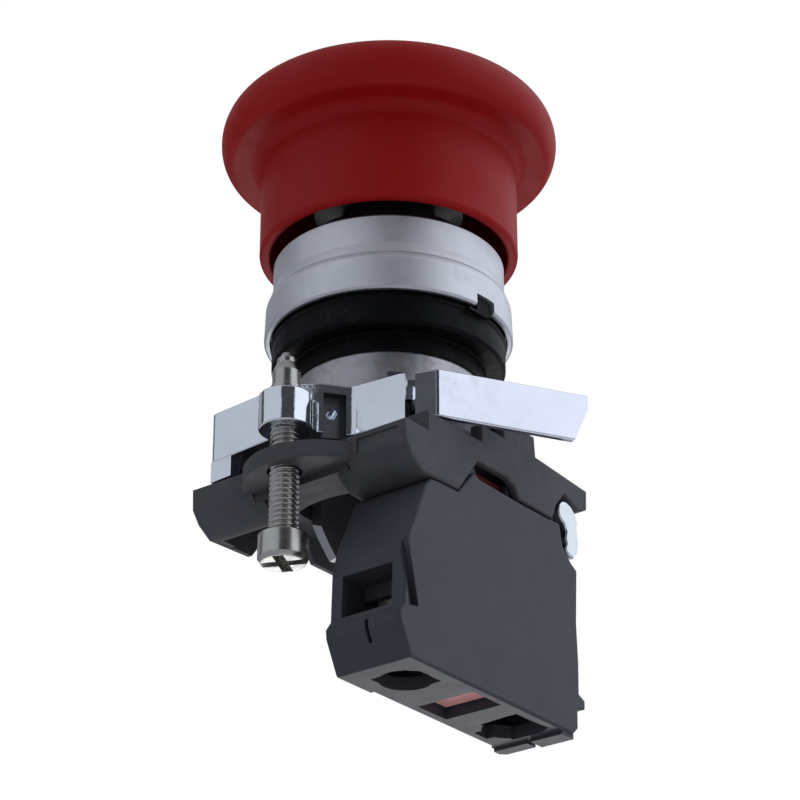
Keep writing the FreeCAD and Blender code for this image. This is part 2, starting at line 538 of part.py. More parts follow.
# short vertical slot in the end's lower panel, long tapering slot in the big face
blk = blk.cut(box(10.3, 10.75, -18, -15.6, -40.6, -38.2))
blk = blk.cut(slab_x([(-16.9, -29.9), (-15.7, -29.7), (-14.0, -36.9), (-15.6, -37.2)], 14.1, 15.5))
cover_zone = box(BLK_X0 - 1, BLK_X0 + WALL, -30, 30, -50, -15)
cover = blk.common(cover_zone)
if len(cover.Solids) > 1:
    cover = max(cover.Solids, key=lambda s: s.Volume)
housing = blk.cut(cover_zone)
if len(housing.Solids) > 1:
    housing = max(housing.Solids, key=lambda s: s.Volume)
parts["block_housing"] = housing.removeSplitter()
parts["block_cover"] = cover.removeSplitter()

# ---- plunger, bridge and springs inside the block -------------------------------------------------
BR_Z = -31.0              # contact plane
pl = box(PL_X0, PL_X1, PL_Y0, PL_Y1, -41.6, -25.5)
pl = pl.fuse(box(PL_X0, 8.6, PL_Y0, PL_Y1, -25.6, -11.15))
pl = pl.fuse(box(PL_X0, 13.2, PL_Y0, 3.6, -17.7, -16.5))
window = box(8.2, 13.5, PL_Y0 - 1, PL_Y1 + 1, -36.2, -30.2)
pl = pl.cut(window)
pl = pl.fuse(box(8.2, 9.0, PL_Y0, PL_Y1, -36.3, -30.1)).removeSplitter()
parts["block_plunger"] = pl
bridge = box(9.15, 12.2, -6.0, 5.4, -32.0, -31.3)
parts["contact_bridge"] = bridge
parts["bridge_rivets"] = Part.makeCompound([cyl(0.9, -31.3, -30.9, 10.7, -4.9), cyl(0.9, -31.3, -30.9, 10.7, 4.3)])
cs = coil(1.1, 0.4, -36.1, -32.1, 5)
cs.translate(V(10.7, -0.3, 0))
parts["contact_spring"] = cs
# fixed contacts: brass strips from the terminals to the contact plane
fa = slab_x([(-12.9, -37.8), (-12.9, -37.0), (-7.3, -37.0), (-7.3, -29.5), (-3.9, -29.5), (-3.9, -30.3), (-6.5, -30.3), (-6.5, -37.8)], 8.6, 12.4)
fb = slab_x([(11.7, -37.8), (11.7, -37.0), (6.7, -37.0), (6.7, -29.5), (3.3, -29.5), (3.3, -30.3), (5.9, -30.3), (5.9, -37.8)], 8.6, 12.4)
TA, TB, TX = -10.2, 8.2, 10.25
hole_r = 1.75
fa = fa.cut(cyl(hole_r, -40, -36, TX, TA))
fb = fb.cut(cyl(hole_r, -40, -36, TX, TB))
parts["fixed_contact_a"] = fa
parts["fixed_contact_b"] = fb
parts["fixed_rivets"] = Part.makeCompound([cyl(0.9, -30.9 + 0.03, -30.3, 10.7, -4.9), cyl(0.9, -30.9 + 0.03, -30.3, 10.7, 4.3)])
# plunger return spring, between the housing's web and the plunger's flange
ps = coil(1.5, 0.4, -24.15, -17.75, 4)
ps.translate(V(10.95, 0.85, 0))
parts["plunger_spring"] = ps
# ---- terminal screws and saddle clamps -----------------------------------------------------------------
for name, ty in (("a", TA), ("b", TB)):
    sh = screw_body(1.5, 6.6, 0.6, 0.2, 0.3)
    sh.translate(V(TX, ty, -31.5))
    h = revolve([(0, 0), (2.2, 0), (2.3, -0.15), (2.3, -1.5), (2.1, -1.7), (0, -1.7)])
    h.translate(V(TX, ty, -38.0))
    s1 = box(-3, 3, -0.4, 0.4, -42.5, -38.8)
    s2 = box(-0.4, 0.4, -1.5, 1.5, -42.5, -38.8)
    for s in (s1, s2):
        s.rotate(V(0, 0, 0), V(0, 0, 1), 35 if name == "a" else -20)
        s.translate(V(TX, ty, 0))
    h = h.cut(s1).cut(s2)
    parts["terminal_screw_" + name] = sh.fuse(h).removeSplitter()
saddle = [(7.9, -34.8), (12.6, -34.8), (12.6, -33.0), (12.0, -33.0), (12.0, -33.9), (8.5, -33.9), (8.5, -33.0), (7.9, -33.0)]
parts["saddle_clamp_a"] = slab_y(saddle, TA - 1.65, TA + 2.2).cut(cyl(1.56, -40, -30, TX, TA))
parts["saddle_clamp_b"] = slab_y(saddle, TB - 1.35, TB + 2.2).cut(cyl(1.56, -40, -30, TX, TB))

# ---- release clip on the block's far shoulder ---------------------------------------------------------------
CLIP_Y, CLIP_Z = 13.75, -16.35      # pivot of the clip
clip_pts = [(13.05, -16.2), (13.25, -15.75), (13.8, -15.5), (14.9, -15.35), (15.65, -15.85), (16.0, -16.8), (15.85, -17.9), (16.15, -19.0), (15.9, -20.5), (15.1, -21.55),
            (14.5, -21.2), (15.1, -20.0), (15.2, -19.2), (14.85, -18.3), (15.15, -17.4), (14.9, -16.75), (14.45, -16.65), (14.2, -17.0), (13.75, -17.15), (13.2, -16.9)]
clip = slab_x(clip_pts, 9.0, 14.6)
side_pts = [(12.6, -15.6), (13.05, -15.1), (13.8, -14.88), (14.8, -15.15), (15.55, -15.8), (16.0, -16.8), (15.85, -17.9), (16.15, -19.0), (15.9, -20.5), (15.1, -21.55),
            (14.25, -21.5), (13.7, -21.1), (13.55, -20.7), (13.85, -20.1), (13.6, -19.5), (13.85, -18.6), (13.4, -17.8), (12.65, -17.4), (12.27, -16.55)]
side = slab_x(side_pts, 14.05, 14.85)
side = round_off(side, (0.3, 0.22, 0.15, 0.1), lambda e: in_plane(e, "x", 14.85), "clip face")
clip = clip.fuse(side)
clip = clip.cut(Part.makeCylinder(0.45, 7.58, V(7, CLIP_Y, CLIP_Z), V(1, 0, 0))).removeSplitter()
parts["block_clip"] = clip
lug = slab_x([(12.3, -15.6), (13.6, -15.6), (14.3, -16.0), (14.3, -16.8), (13.6, -17.2), (12.3, -17.6)], 7.9, 8.85)
hs = parts["block_housing"].fuse(lug).cut(Part.makeCylinder(0.40, 3, V(6.6, CLIP_Y, CLIP_Z), V(1, 0, 0)))
if len(hs.Solids) > 1:
    hs = max(hs.Solids, key=lambda q: q.Volume)
parts["block_housing"] = hs.removeSplitter()
parts["clip_pin"] = Part.makeCylinder(0.40, 6.6, V(7.9, CLIP_Y, CLIP_Z), V(1, 0, 0)).fuse(
    Part.makeCylinder(0.62, 0.25, V(7.65, CLIP_Y, CLIP_Z), V(1, 0, 0))).removeSplitter()

if __name__ == "__main__":
    for name in sorted(parts):
        s = parts[name]
        bb = s.BoundBox
        print("%-18s %-9s solids %d valid %s vol %9.2f  x %.2f..%.2f y %.2f..%.2f z %.2f..%.2f" % (
            name, s.ShapeType, len(s.Solids), s.isValid(), s.Volume, bb.XMin, bb.XMax, bb.YMin, bb.YMax, bb.ZMin, bb.ZMax))
        s.exportStep("parts/%s.step" % name)
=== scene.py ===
import bpy, bmesh, math, json
from mathutils import Vector, Matrix


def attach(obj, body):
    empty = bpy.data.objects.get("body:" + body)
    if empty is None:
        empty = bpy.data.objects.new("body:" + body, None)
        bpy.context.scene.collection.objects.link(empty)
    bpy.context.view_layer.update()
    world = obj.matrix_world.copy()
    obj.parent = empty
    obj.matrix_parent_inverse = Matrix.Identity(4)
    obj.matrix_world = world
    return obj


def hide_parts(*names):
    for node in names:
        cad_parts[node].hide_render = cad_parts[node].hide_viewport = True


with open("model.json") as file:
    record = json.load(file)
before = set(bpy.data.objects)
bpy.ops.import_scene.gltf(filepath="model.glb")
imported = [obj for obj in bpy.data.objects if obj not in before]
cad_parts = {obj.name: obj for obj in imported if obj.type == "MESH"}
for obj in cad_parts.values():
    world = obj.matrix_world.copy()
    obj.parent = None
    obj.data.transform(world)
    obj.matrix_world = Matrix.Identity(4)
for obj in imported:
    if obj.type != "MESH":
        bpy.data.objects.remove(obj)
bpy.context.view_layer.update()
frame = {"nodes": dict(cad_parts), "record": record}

MM = 0.001
scene = bpy.context.scene
coll = scene.collection
nodes = frame["nodes"]
BODY = {}
for b_name, members in frame["record"]["behaviour"]["bodies"].items():
    for m_name in members:
        BODY[m_name] = b_name
SLOT = {s["node"]: s["material_slot"] for s in frame["record"]["subparts"]}

# ---------------------------------------------------------------- camera
cam_d = bpy.data.cameras.new("cam")
cam = bpy.data.objects.new("cam", cam_d)
coll.objects.link(cam)
cam_d.sensor_width = 36.0
cam_d.lens = 126.5
cam_d.clip_start = 0.01
cam_d.clip_end = 20.0
right = Vector((0.7915, 0.6112, -0.0004)).normalized()
fwd = Vector((-0.5459, 0.7072, 0.4493)).normalized()
up = right.cross(fwd).normalized()
right = fwd.cross(up).normalized()
mw = Matrix.Identity(4)
for i in range(3):
    mw[i][0] = right[i]
    mw[i][1] = up[i]
    mw[i][2] = -fwd[i]
mw[0][3], mw[1][3], mw[2][3] = 0.17724, -0.22745, -0.14797
cam.matrix_world = mw
scene.camera = cam
scene.view_settings.view_transform = "Standard"


# ---------------------------------------------------------------- node helpers
class NT:
    """Small helper to write node trees in a few words."""

    def __init__(self, tree):
        self.t = tree

    def n(self, kind, **kw):
        nd = self.t.nodes.new(kind)
        for k, v in kw.items():
            if k.startswith("_"):
                continue
            setattr(nd, k, v)
        return nd

    def link(self, a, b):
        self.t.links.new(a, b)

    def math(self, op, a, b=None, c=None, clamp=False):
        nd = self.t.nodes.new("ShaderNodeMath")
        nd.operation = op
        nd.use_clamp = clamp
        for i, v in enumerate((a, b, c)):
            if v is None:
                continue
            if isinstance(v, (int, float)):
                nd.inputs[i].default_value = v
            else:
                self.link(v, nd.inputs[i])
        return nd.outputs[0]

    def smooth(self, v, lo, hi, out0=0.0, out1=1.0):
        nd = self.t.nodes.new("ShaderNodeMapRange")
        nd.interpolation_type = "SMOOTHSTEP"
        self.link(v, nd.inputs["Value"])
        nd.inputs["From Min"].default_value = lo
        nd.inputs["From Max"].default_value = hi
        nd.inputs["To Min"].default_value = out0
        nd.inputs["To Max"].default_value = out1
        return nd.outputs["Result"]

    def remap(self, v, lo, hi, out0, out1):
        nd = self.t.nodes.new("ShaderNodeMapRange")
        self.link(v, nd.inputs["Value"])
        nd.inputs["From Min"].default_value = lo
        nd.inputs["From Max"].default_value = hi
        nd.inputs["To Min"].default_value = out0
        nd.inputs["To Max"].default_value = out1
        return nd.outputs["Result"]

    def noise(self, vec, scale, detail=2.0, rough=0.5, dist=0.0):
        nd = self.t.nodes.new("ShaderNodeTexNoise")
        nd.inputs["Scale"].default_value = scale
        nd.inputs["Detail"].default_value = detail
        nd.inputs["Roughness"].default_value = rough
        nd.inputs["Distortion"].default_value = dist
        self.link(vec, nd.inputs["Vector"])
        return nd.outputs["Fac"]

    def mixc(self, fac, a, b):
        nd = self.t.nodes.new("ShaderNodeMix")
        nd.data_type = "RGBA"
        nd.clamp_factor = True
        if isinstance(fac, (int, float)):
            nd.inputs[0].default_value = fac
        else:
            self.link(fac, nd.inputs[0])
        for i, v in ((6, a), (7, b)):
            if isinstance(v, (tuple, list)):
                nd.inputs[i].default_value = (v[0], v[1], v[2], 1.0)
            else:
                self.link(v, nd.inputs[i])
        return nd.outputs[2]

    def bump(self, height, strength, dist, normal=None):
        nd = self.t.nodes.new("ShaderNodeBump")
        nd.inputs["Strength"].default_value = strength
        nd.inputs["Distance"].default_value = dist
        self.link(height, nd.inputs["Height"])
        if normal is not None:
            self.link(normal, nd.inputs["Normal"])
        return nd.outputs["Normal"]


def shader(name):
    m = bpy.data.materials.new(name)
    m.use_nodes = True
    t = m.node_tree
    b = t.nodes["Principled BSDF"]
    k = NT(t)
    tc = k.n("ShaderNodeTexCoord")
    return m, k, b, tc.outputs["Object"]


def mul(c, f):
    return tuple(min(1.0, x * f) for x in c)


def plastic(name, base, rough=(0.42, 0.55), spec=0.5, grain=2600.0, grain_h=0.6, var=0.10, blotch=90.0, dust=0.0, coat=0.0, dust_col=(0.35, 0.33, 0.31)):
    """Moulded plastic: mould-grain bump, slow colour drift, uneven gloss and a little dust."""
    m, k, b, co = shader(name)
    n1 = k.noise(co, blotch, 4.0, 0.55)
    n2 = k.noise(co, grain, 3.0, 0.6)
    n3 = k.noise(co, blotch * 5.0, 3.0, 0.6)
    col = k.mixc(k.smooth(n1, 0.3, 0.7), mul(base, 1.0 - var), mul(base, 1.0 + var))
    col = k.mixc(k.remap(n2, 0.3, 0.7, 0.0, var), col, mul(base, 1.35))
    if dust > 0:
        d1 = k.noise(co, 420.0, 6.0, 0.75)
        d2 = k.noise(co, 5200.0, 2.0, 0.5)
        fleck = k.math("MULTIPLY", k.smooth(d1, 0.52, 0.75), k.smooth(d2, 0.50, 0.72))
        col = k.mixc(k.math("MULTIPLY", fleck, dust), col, dust_col)
    k.link(col, b.inputs["Base Color"])
    r = k.remap(n3, 0.25, 0.75, rough[0], rough[1])
    k.link(r, b.inputs["Roughness"])
    b.inputs["Specular IOR Level"].default_value = spec
    if coat:
        b.inputs["Coat Weight"].default_value = coat
        b.inputs["Coat Roughness"].default_value = 0.18
    nn = k.bump(n2, 0.35, 0.00003 * grain_h)
    nn = k.bump(n3, 0.25, 0.00010 * grain_h, nn)
    k.link(nn, b.inputs["Normal"])
    return m


def metal(name, base, rough=(0.2, 0.32), cast=0.5, fine=4000.0, rings=0.0, aniso=0.0, var=0.06, tint=None, tint_amt=0.0, smudge=0.12):
    """Metal: cast or turned surface, plating drift, smudged gloss."""
    m, k, b, co = shader(name)
    b.inputs["Metallic"].default_value = 1.0
    n1 = k.noise(co, 110.0, 4.0, 0.6, 0.4)
    n2 = k.noise(co, fine, 3.0, 0.6)
    n3 = k.noise(co, 700.0, 4.0, 0.6)
    col = k.mixc(k.smooth(n1, 0.3, 0.7), mul(base, 1.0 - var), mul(base, 1.0 + var))
    if tint is not None:
        col = k.mixc(k.math("MULTIPLY", k.smooth(n3, 0.5, 0.75), tint_amt), col, tint)
    k.link(col, b.inputs["Base Color"])
    rr = k.remap(n3, 0.25, 0.75, rough[0], rough[1])
    if smudge:
        s = k.smooth(k.noise(co, 240.0, 5.0, 0.65, 0.8), 0.52, 0.7, 0.0, smudge)
        rr = k.math("ADD", rr, s)
    k.link(rr, b.inputs["Roughness"])
    nn = None
    if rings > 0:
        sep = k.n("ShaderNodeSeparateXYZ")
        k.link(co, sep.inputs[0])
        nz = k.n("ShaderNodeTexNoise", noise_dimensions="1D")
        nz.inputs["Scale"].default_value = 1.0
        nz.inputs["Detail"].default_value = 4.0
        nz.inputs["Roughness"].default_value = 0.7
        k.link(k.math("MULTIPLY", sep.outputs[2], 9000.0), nz.inputs["W"])
        nn = k.bump(nz.outputs["Fac"], 0.55 * rings, 0.00002)
    if cast > 0:
        n4 = k.noise(co, 330.0, 2.0, 0.5, 0.3)
        nn = k.bump(n4, 0.3 * cast, 0.0002, nn)
        nn = k.bump(n2, 0.25 * cast, 0.00003, nn)
    if nn is not None:
        k.link(nn, b.inputs["Normal"])
    return m


MAT = {}
MAT["red_plastic"] = plastic("red_mushroom", (0.41, 0.0045, 0.0042), rough=(0.48, 0.60), spec=0.22, grain=3400.0, grain_h=0.7, var=0.06, blotch=60.0, dust=0.10, dust_col=(0.6, 0.12, 0.11))
MAT["zinc_satin"] = metal("bezel_zinc", (0.70, 0.71, 0.75), rough=(0.46, 0.54), cast=0.0, rings=1.0, smudge=0.08)
# Dark zinc that is painted dark reflection and painted shade, laid on faces of the bright collar and lock ring
MAT["zinc_dull"] = metal("painted_dark_reflection_zinc", (0.16, 0.165, 0.18), rough=(0.40, 0.55), cast=0.8, smudge=0.1)
MAT["zinc_cast"] = metal("tube_zinc", (0.46, 0.455, 0.485), rough=(0.34, 0.48), cast=1.0, tint=(0.34, 0.29, 0.30), tint_amt=0.6)
MAT["chrome_zinc"] = metal("bright_zinc", (0.84, 0.88, 0.95), rough=(0.04, 0.09), cast=0.8, var=0.04, smudge=0.05)
MAT["lever_zinc"] = metal("lever_zinc", (0.84, 0.86, 0.96), rough=(0.10, 0.16), cast=0.5, var=0.03, smudge=0.05)
MAT["rubber_black"] = plastic("gasket_rubber", (0.0026, 0.0030, 0.0034), rough=(0.38, 0.60), spec=0.11, grain=3000.0, grain_h=1.0, var=0.25, blotch=200.0, dust=0.30, dust_col=(0.22, 0.22, 0.23))
MAT["carrier_plastic"] = plastic("carrier_plastic", (0.082, 0.082, 0.092), rough=(0.50, 0.66), spec=0.26, grain=3000.0, grain_h=1.2, var=0.16, blotch=120.0, dust=0.40)
MAT["block_plastic"] = plastic("block_plastic", (0.062, 0.063, 0.078), rough=(0.40, 0.50), spec=0.26, grain=4200.0, grain_h=0.7, var=0.08, blotch=80.0, dust=0.12)
MAT["stem_plastic"] = plastic("stem_plastic", (0.03, 0.03, 0.033), rough=(0.35, 0.45), grain=3000.0)
MAT["plunger_red"] = plastic("plunger_red", (0.86, 0.38, 0.36), rough=(0.40, 0.5), spec=0.4, grain=3000.0, var=0.06, dust=0.2, dust_col=(0.7, 0.4, 0.36))
# Darker red that is painted shade on the upper part of the one-colour plunger
MAT["plunger_painted_shade"] = plastic("plunger_painted_shade", (0.13, 0.020, 0.019), rough=(0.45, 0.55), spec=0.25, grain=3000.0, var=0.08)
MAT["screw_steel"] = metal("screw_steel", (0.52, 0.51, 0.49), rough=(0.20, 0.32), cast=0.5, tint=(0.40, 0.37, 0.32), tint_amt=0.5)
MAT["spring_steel"] = metal("spring_steel", (0.50, 0.50, 0.51), rough=(0.25, 0.35), cast=0.2)
MAT["brass"] = metal("brass", (0.68, 0.47, 0.19), rough=(0.22, 0.34), cast=0.2)
MAT["clip_zinc"] = metal("clip_zinc", (0.76, 0.80, 0.83), rough=(0.12, 0.22), cast=0.9, var=0.05, smudge=0.08)
MAT["contact_silver"] = metal("contact_silver", (0.82, 0.82, 0.83), rough=(0.25, 0.4), cast=0.2)


# ---------------------------------------------------------------- mesh helpers
def finish_mesh(bm, name, angle=38.0):
    """Closed bmesh to an object, smooth shaded with sharp edges above the angle."""
    bmesh.ops.recalc_face_normals(bm, faces=bm.faces)
    lim = math.radians(angle)
    for f in bm.faces:
        f.smooth = True
    for e in bm.edges:
        if len(e.link_faces) == 2:
            e.smooth = e.calc_face_angle(0.0) < lim
        else:
            e.smooth = True
    me = bpy.data.meshes.new(name)
    bm.to_mesh(me)
    bm.free()
    ob = bpy.data.objects.new(name, me)
    coll.objects.link(ob)
    return ob


def adopt(ob, node, mat=None, others=()):
    """The piece rides on the node's body and stands for it."""
    wn = ob.modifiers.new("wn", "WEIGHTED_NORMAL")
    wn.mode = "FACE_AREA"
    wn.weight = 100
    wn.keep_sharp = True
    wn.thresh = 0.001
    ob.data.materials.clear()
    ob.data.materials.append(MAT[mat or SLOT[node]])
    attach(ob, BODY[node])
    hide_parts(node, *others)
    return ob


def arc3(p0, pm, p1, n=12):
    """Points on the arc p0-pm-p1, without p0."""
    (x0, y0), (x1, y1), (x2, y2) = p0, pm, p1
    d = 2.0 * (x0 * (y1 - y2) + x1 * (y2 - y0) + x2 * (y0 - y1))
    ux = ((x0 ** 2 + y0 ** 2) * (y1 - y2) + (x1 ** 2 + y1 ** 2) * (y2 - y0) + (x2 ** 2 + y2 ** 2) * (y0 - y1)) / d
    uy = ((x0 ** 2 + y0 ** 2) * (x2 - x1) + (x1 ** 2 + y1 ** 2) * (x0 - x2) + (x2 ** 2 + y2 ** 2) * (x1 - x0)) / d
    r = math.hypot(x0 - ux, y0 - uy)
    a0, a1, a2 = (math.atan2(y - uy, x - ux) for x, y in (p0, pm, p1))
    sweep = (a2 - a0) % (2 * math.pi)
    if ((a1 - a0) % (2 * math.pi)) > sweep:
        sweep -= 2 * math.pi
    return [(ux + r * math.cos(a0 + sweep * i / n), uy + r * math.sin(a0 + sweep * i / n)) for i in range(1, n + 1)]


def rounded(pts, radii, n=5, closed=True):
    """Rounds the corners of an outline. radii: one number, or {index: radius}."""
    out = []
    m = len(pts)
    for i, p in enumerate(pts):
        r = radii.get(i, radii.get("all", 0.0)) if isinstance(radii, dict) else radii
        if (not closed and i in (0, m - 1)) or r <= 0:
            out.append(tuple(p))
            continue
        a, b, c = Vector(pts[i - 1]), Vector(p), Vector(pts[(i + 1) % m])
        u, v = (a - b), (c - b)
        lu, lv = u.length, v.length
        if lu < 1e-9 or lv < 1e-9:
            out.append(tuple(p))
            continue
        u /= lu
        v /= lv
        ang = math.acos(max(-1, min(1, u.dot(v))))
        if ang > math.radians(172):
            out.append(tuple(p))
            continue
        t = min(r / math.tan(ang / 2), 0.49 * lu, 0.49 * lv)
        rr = t * math.tan(ang / 2)
        cdir = (u + v).normalized()
        cen = b + cdir * (rr / math.sin(ang / 2))
        s, e = b + u * t, b + v * t
        a0 = math.atan2(s.y - cen.y, s.x - cen.x)
        a1 = math.atan2(e.y - cen.y, e.x - cen.x)
        da = (a1 - a0 + math.pi) % (2 * math.pi) - math.pi
        for j in range(n + 1):
            aa = a0 + da * j / n
            out.append((cen.x + rr * math.cos(aa), cen.y + rr * math.sin(aa)))
    return out


def lathe_bm(prof, segs=192, cx=0.0, cy=0.0, closed=True, bm=None):
    """Solid of revolution about a Z axis from an (r, z) outline in mm."""
    bm = bm or bmesh.new()
    rings = []
    for r, z in prof:
        if r < 1e-6:
            rings.append([bm.verts.new((cx * MM, cy * MM, z * MM))])
        else:
            rings.append([bm.verts.new(((cx + r * math.cos(2 * math.pi * i / segs)) * MM, (cy + r * math.sin(2 * math.pi * i / segs)) * MM, z * MM)) for i in range(segs)])
    m = len(rings)
    for k in range(m if closed else m - 1):
        a, b = rings[k], rings[(k + 1) % m]
        if len(a) == 1 and len(b) == 1:
            continue
        for i in range(segs):
            j = (i + 1) % segs
            if len(a) == 1:
                vs = [a[0], b[j], b[i]]
            elif len(b) == 1:
                vs = [a[i], a[j], b[0]]
            else:
                vs = [a[i], a[j], b[j], b[i]]
            try:
                bm.faces.new(vs)
            except ValueError:
                pass
    return bm


def box_bm(x0, x1, y0, y1, z0, z1, rot=0.0, cx=0.0, cy=0.0, bm=None):
    """Box in mm, turned by rot degrees about the Z line through (cx, cy)."""
    bm = bm or bmesh.new()
    c, s = math.cos(math.radians(rot)), math.sin(math.radians(rot))
    vs = []
    for z in (z0, z1):
        for x, y in ((x0, y0), (x1, y0), (x1, y1), (x0, y1)):
            dx, dy = x - cx, y - cy
            vs.append(bm.verts.new(((cx + c * dx - s * dy) * MM, (cy + s * dx + c * dy) * MM, z * MM)))
    for f in ((0, 3, 2, 1), (4, 5, 6, 7), (0, 1, 5, 4), (1, 2, 6, 5), (2, 3, 7, 6), (3, 0, 4, 7)):
        bm.faces.new([vs[i] for i in f])
    return bm


def to_obj(bm, name):
    bmesh.ops.recalc_face_normals(bm, faces=bm.faces)
    me = bpy.data.meshes.new(name)
    bm.to_mesh(me)
    bm.free()
    ob = bpy.data.objects.new(name, me)
    coll.objects.link(ob)
    return ob


def boolean(ob, cutter, op="DIFFERENCE"):
    md = ob.modifiers.new("b", "BOOLEAN")
    md.operation = op
    md.object = cutter
    md.solver = "EXACT"
    dg = bpy.context.evaluated_depsgraph_get()
    me = bpy.data.meshes.new_from_object(ob.evaluated_get(dg))
    ob.modifiers.clear()
    old = ob.data
    ob.data = me
    bpy.data.meshes.remove(old)
    bpy.data.objects.remove(cutter)
    return ob


def bevel_edges(bm, width, segs, angle, keep=None):
    """Rounds the sharp edges of a closed solid."""
    lim = math.radians(angle)
    es = []
    for e in bm.edges:
        if len(e.link_faces) == 2 and e.calc_face_angle(0.0) > lim:
            if keep is None or keep(e):
                es.append(e)
    if es:
        bmesh.ops.bevel(bm, geom=es, offset=width * MM, offset_type="OFFSET", segments=segs, profile=0.5, affect="EDGES", clamp_overlap=True, miter_outer="ARC", miter_inner="SHARP", loop_slide=True)
    return len(es)


def clean_cad(node, join=2e-6, flat=0.6):
    """The node's solid with its triangles merged to flat faces."""
    me = nodes[node].data.copy()
    bm = bmesh.new()
    bm.from_mesh(me)
    bpy.data.meshes.remove(me)
    bmesh.ops.remove_doubles(bm, verts=bm.verts, dist=join)
    bmesh.ops.dissolve_degenerate(bm, edges=bm.edges, dist=1e-6)
    bmesh.ops.dissolve_limit(bm, angle_limit=math.radians(flat), verts=bm.verts, edges=bm.edges, use_dissolve_boundaries=False)
    return bm


def refined(node, width=0.15, segs=2, angle=28.0, mat=None, keep=None, flat=0.6, smooth=38.0):
    bm = clean_cad(node, flat=flat)
    if width:
        bevel_edges(bm, width, segs, angle, keep)
    ob = finish_mesh(bm, "p_" + node, smooth)
    return adopt(ob, node, mat)


# ---------------------------------------------------------------- mushroom cap
def cap_piece():
    top, er, ez, hr, rz, ur, uz, sr = 39.2, 16.8, 34.6, 20.05, 30.65, 18.4, 27.85, 15.2
    sag = top - ez
    dr = (er ** 2 + sag ** 2) / (2 * sag)
    st = math.radians(78.0)
    rs, zs = er + (hr - er) * math.cos(st), rz + (ez - rz) * math.sin(st)
    p = [(0.0, top)] + arc3((0.0, top), (8.6, top - dr + math.sqrt(dr ** 2 - 8.6 ** 2)), (rs, zs), 40)
    p += [(er + (hr - er) * math.cos(st * (1 - k / 24)), rz + (ez - rz) * math.sin(st * (1 - k / 24))) for k in range(1, 25)]
    p += [(ur + (hr - ur) * math.cos(math.pi / 2 * k / 16), rz - (rz - uz) * math.sin(math.pi / 2 * k / 16)) for k in range(1, 17)]
    p += [(sr + 1.6, uz)] + arc3((sr + 1.6, uz), (sr + 1.6 * (1 - math.sin(math.pi / 4)), uz - 1.6 * (1 - math.cos(math.pi / 4))), (sr, uz - 1.6), 12)
    p += [(sr, 23.0), (sr, 19.0), (sr, 15.9)]
    p += arc3((sr, 15.9), (sr - 0.12, 15.38), (sr - 0.5, 15.2), 6)
    p += [(14.3, 15.2)] + arc3((14.3, 15.2), (14.05, 15.28), (13.95, 15.55), 4)
    p += [(13.95, 28.0), (13.3, 28.6), (13.3, 33.2), (12.6, 34.0), (12.3, 34.0), (12.3, 30.1), (12.2, 30.0), (10.9, 30.0), (10.8, 30.1), (10.8, 34.0), (0.0, 34.0)]
    bm = lathe_bm(p, 256, closed=False)
    for k in range(6):
        box_bm(3.0, 10.9, -0.5, 0.5, 32.4, 34.1, rot=60 * k, bm=bm)
    return adopt(finish_mesh(bm, "p_mushroom_cap", 50.0), "mushroom_cap")


cap_piece()


# ---------------------------------------------------------------- bezel
def bezel_piece():
    seam = 8.72
    p = [(13.75, 3.9), (14.19, 3.9), (14.44, 4.15), (14.3, 8.0), (14.02, seam - 0.11), (13.80, seam), (13.96, seam + 0.11), (13.5, 10.2), (13.5, 13.65), (13.25, 13.9), (11.8, 13.9), (11.8, 5.2), (13.75, 5.2)]
    p = rounded(p, {"all": 0.06, 3: 1.2, 7: 1.0, 5: 0.03, 2: 0.18, 1: 0.12, 9: 0.12, 8: 0.12}, 5)
    ob = to_obj(lathe_bm(p, 288), "p_bezel_ring")
    cut = to_obj(box_bm(12.9, 15.2, -1.55, 1.55, 3.0, 5.35, rot=-2.0), "cut")
    boolean(ob, cut)
    bm = bmesh.new()
    bm.from_mesh(ob.data)
    me = ob.data
    bpy.data.objects.remove(ob)
    bpy.data.meshes.remove(me)
    return adopt(finish_mesh(bm, "p_bezel_ring", 30.0), "bezel_ring")


bezel_piece()


# ---------------------------------------------------------------- gasket
def gasket_piece():
    p = [(10.95, -2.4), (11.12, -2.4), (11.2, -2.2), (11.2, 0.0), (13.17, 0.0), (13.52, 0.35), (13.52, 3.0), (13.64, 3.15), (13.64, 3.5), (13.52, 3.65), (13.52, 5.2), (12.4, 5.2), (12.4, 3.0), (10.95, 3.0)]
    p = rounded(p, {"all": 0.06, 4: 0.15, 5: 0.35, 3: 0.2}, 4)
    bm = lathe_bm(p, 256)
    lug = box_bm(13.2, 14.0, -1.2, 1.2, 3.3, 5.1, rot=-2.0)
    bevel_edges(lug, 0.18, 3, 30)
    me = bpy.data.meshes.new("t")
    lug.to_mesh(me)
    bm.from_mesh(me)
    lug.free()
    shelf = box_bm(13.2, 14.05, -2.6, 0.6, 3.05, 3.35, rot=-2.0)
    bevel_edges(shelf, 0.07, 2, 30)
    shelf.to_mesh(me)
    bm.from_mesh(me)
    shelf.free()
    bpy.data.meshes.remove(me)
    return adopt(finish_mesh(bm, "p_gasket", 40.0), "gasket")


gasket_piece()


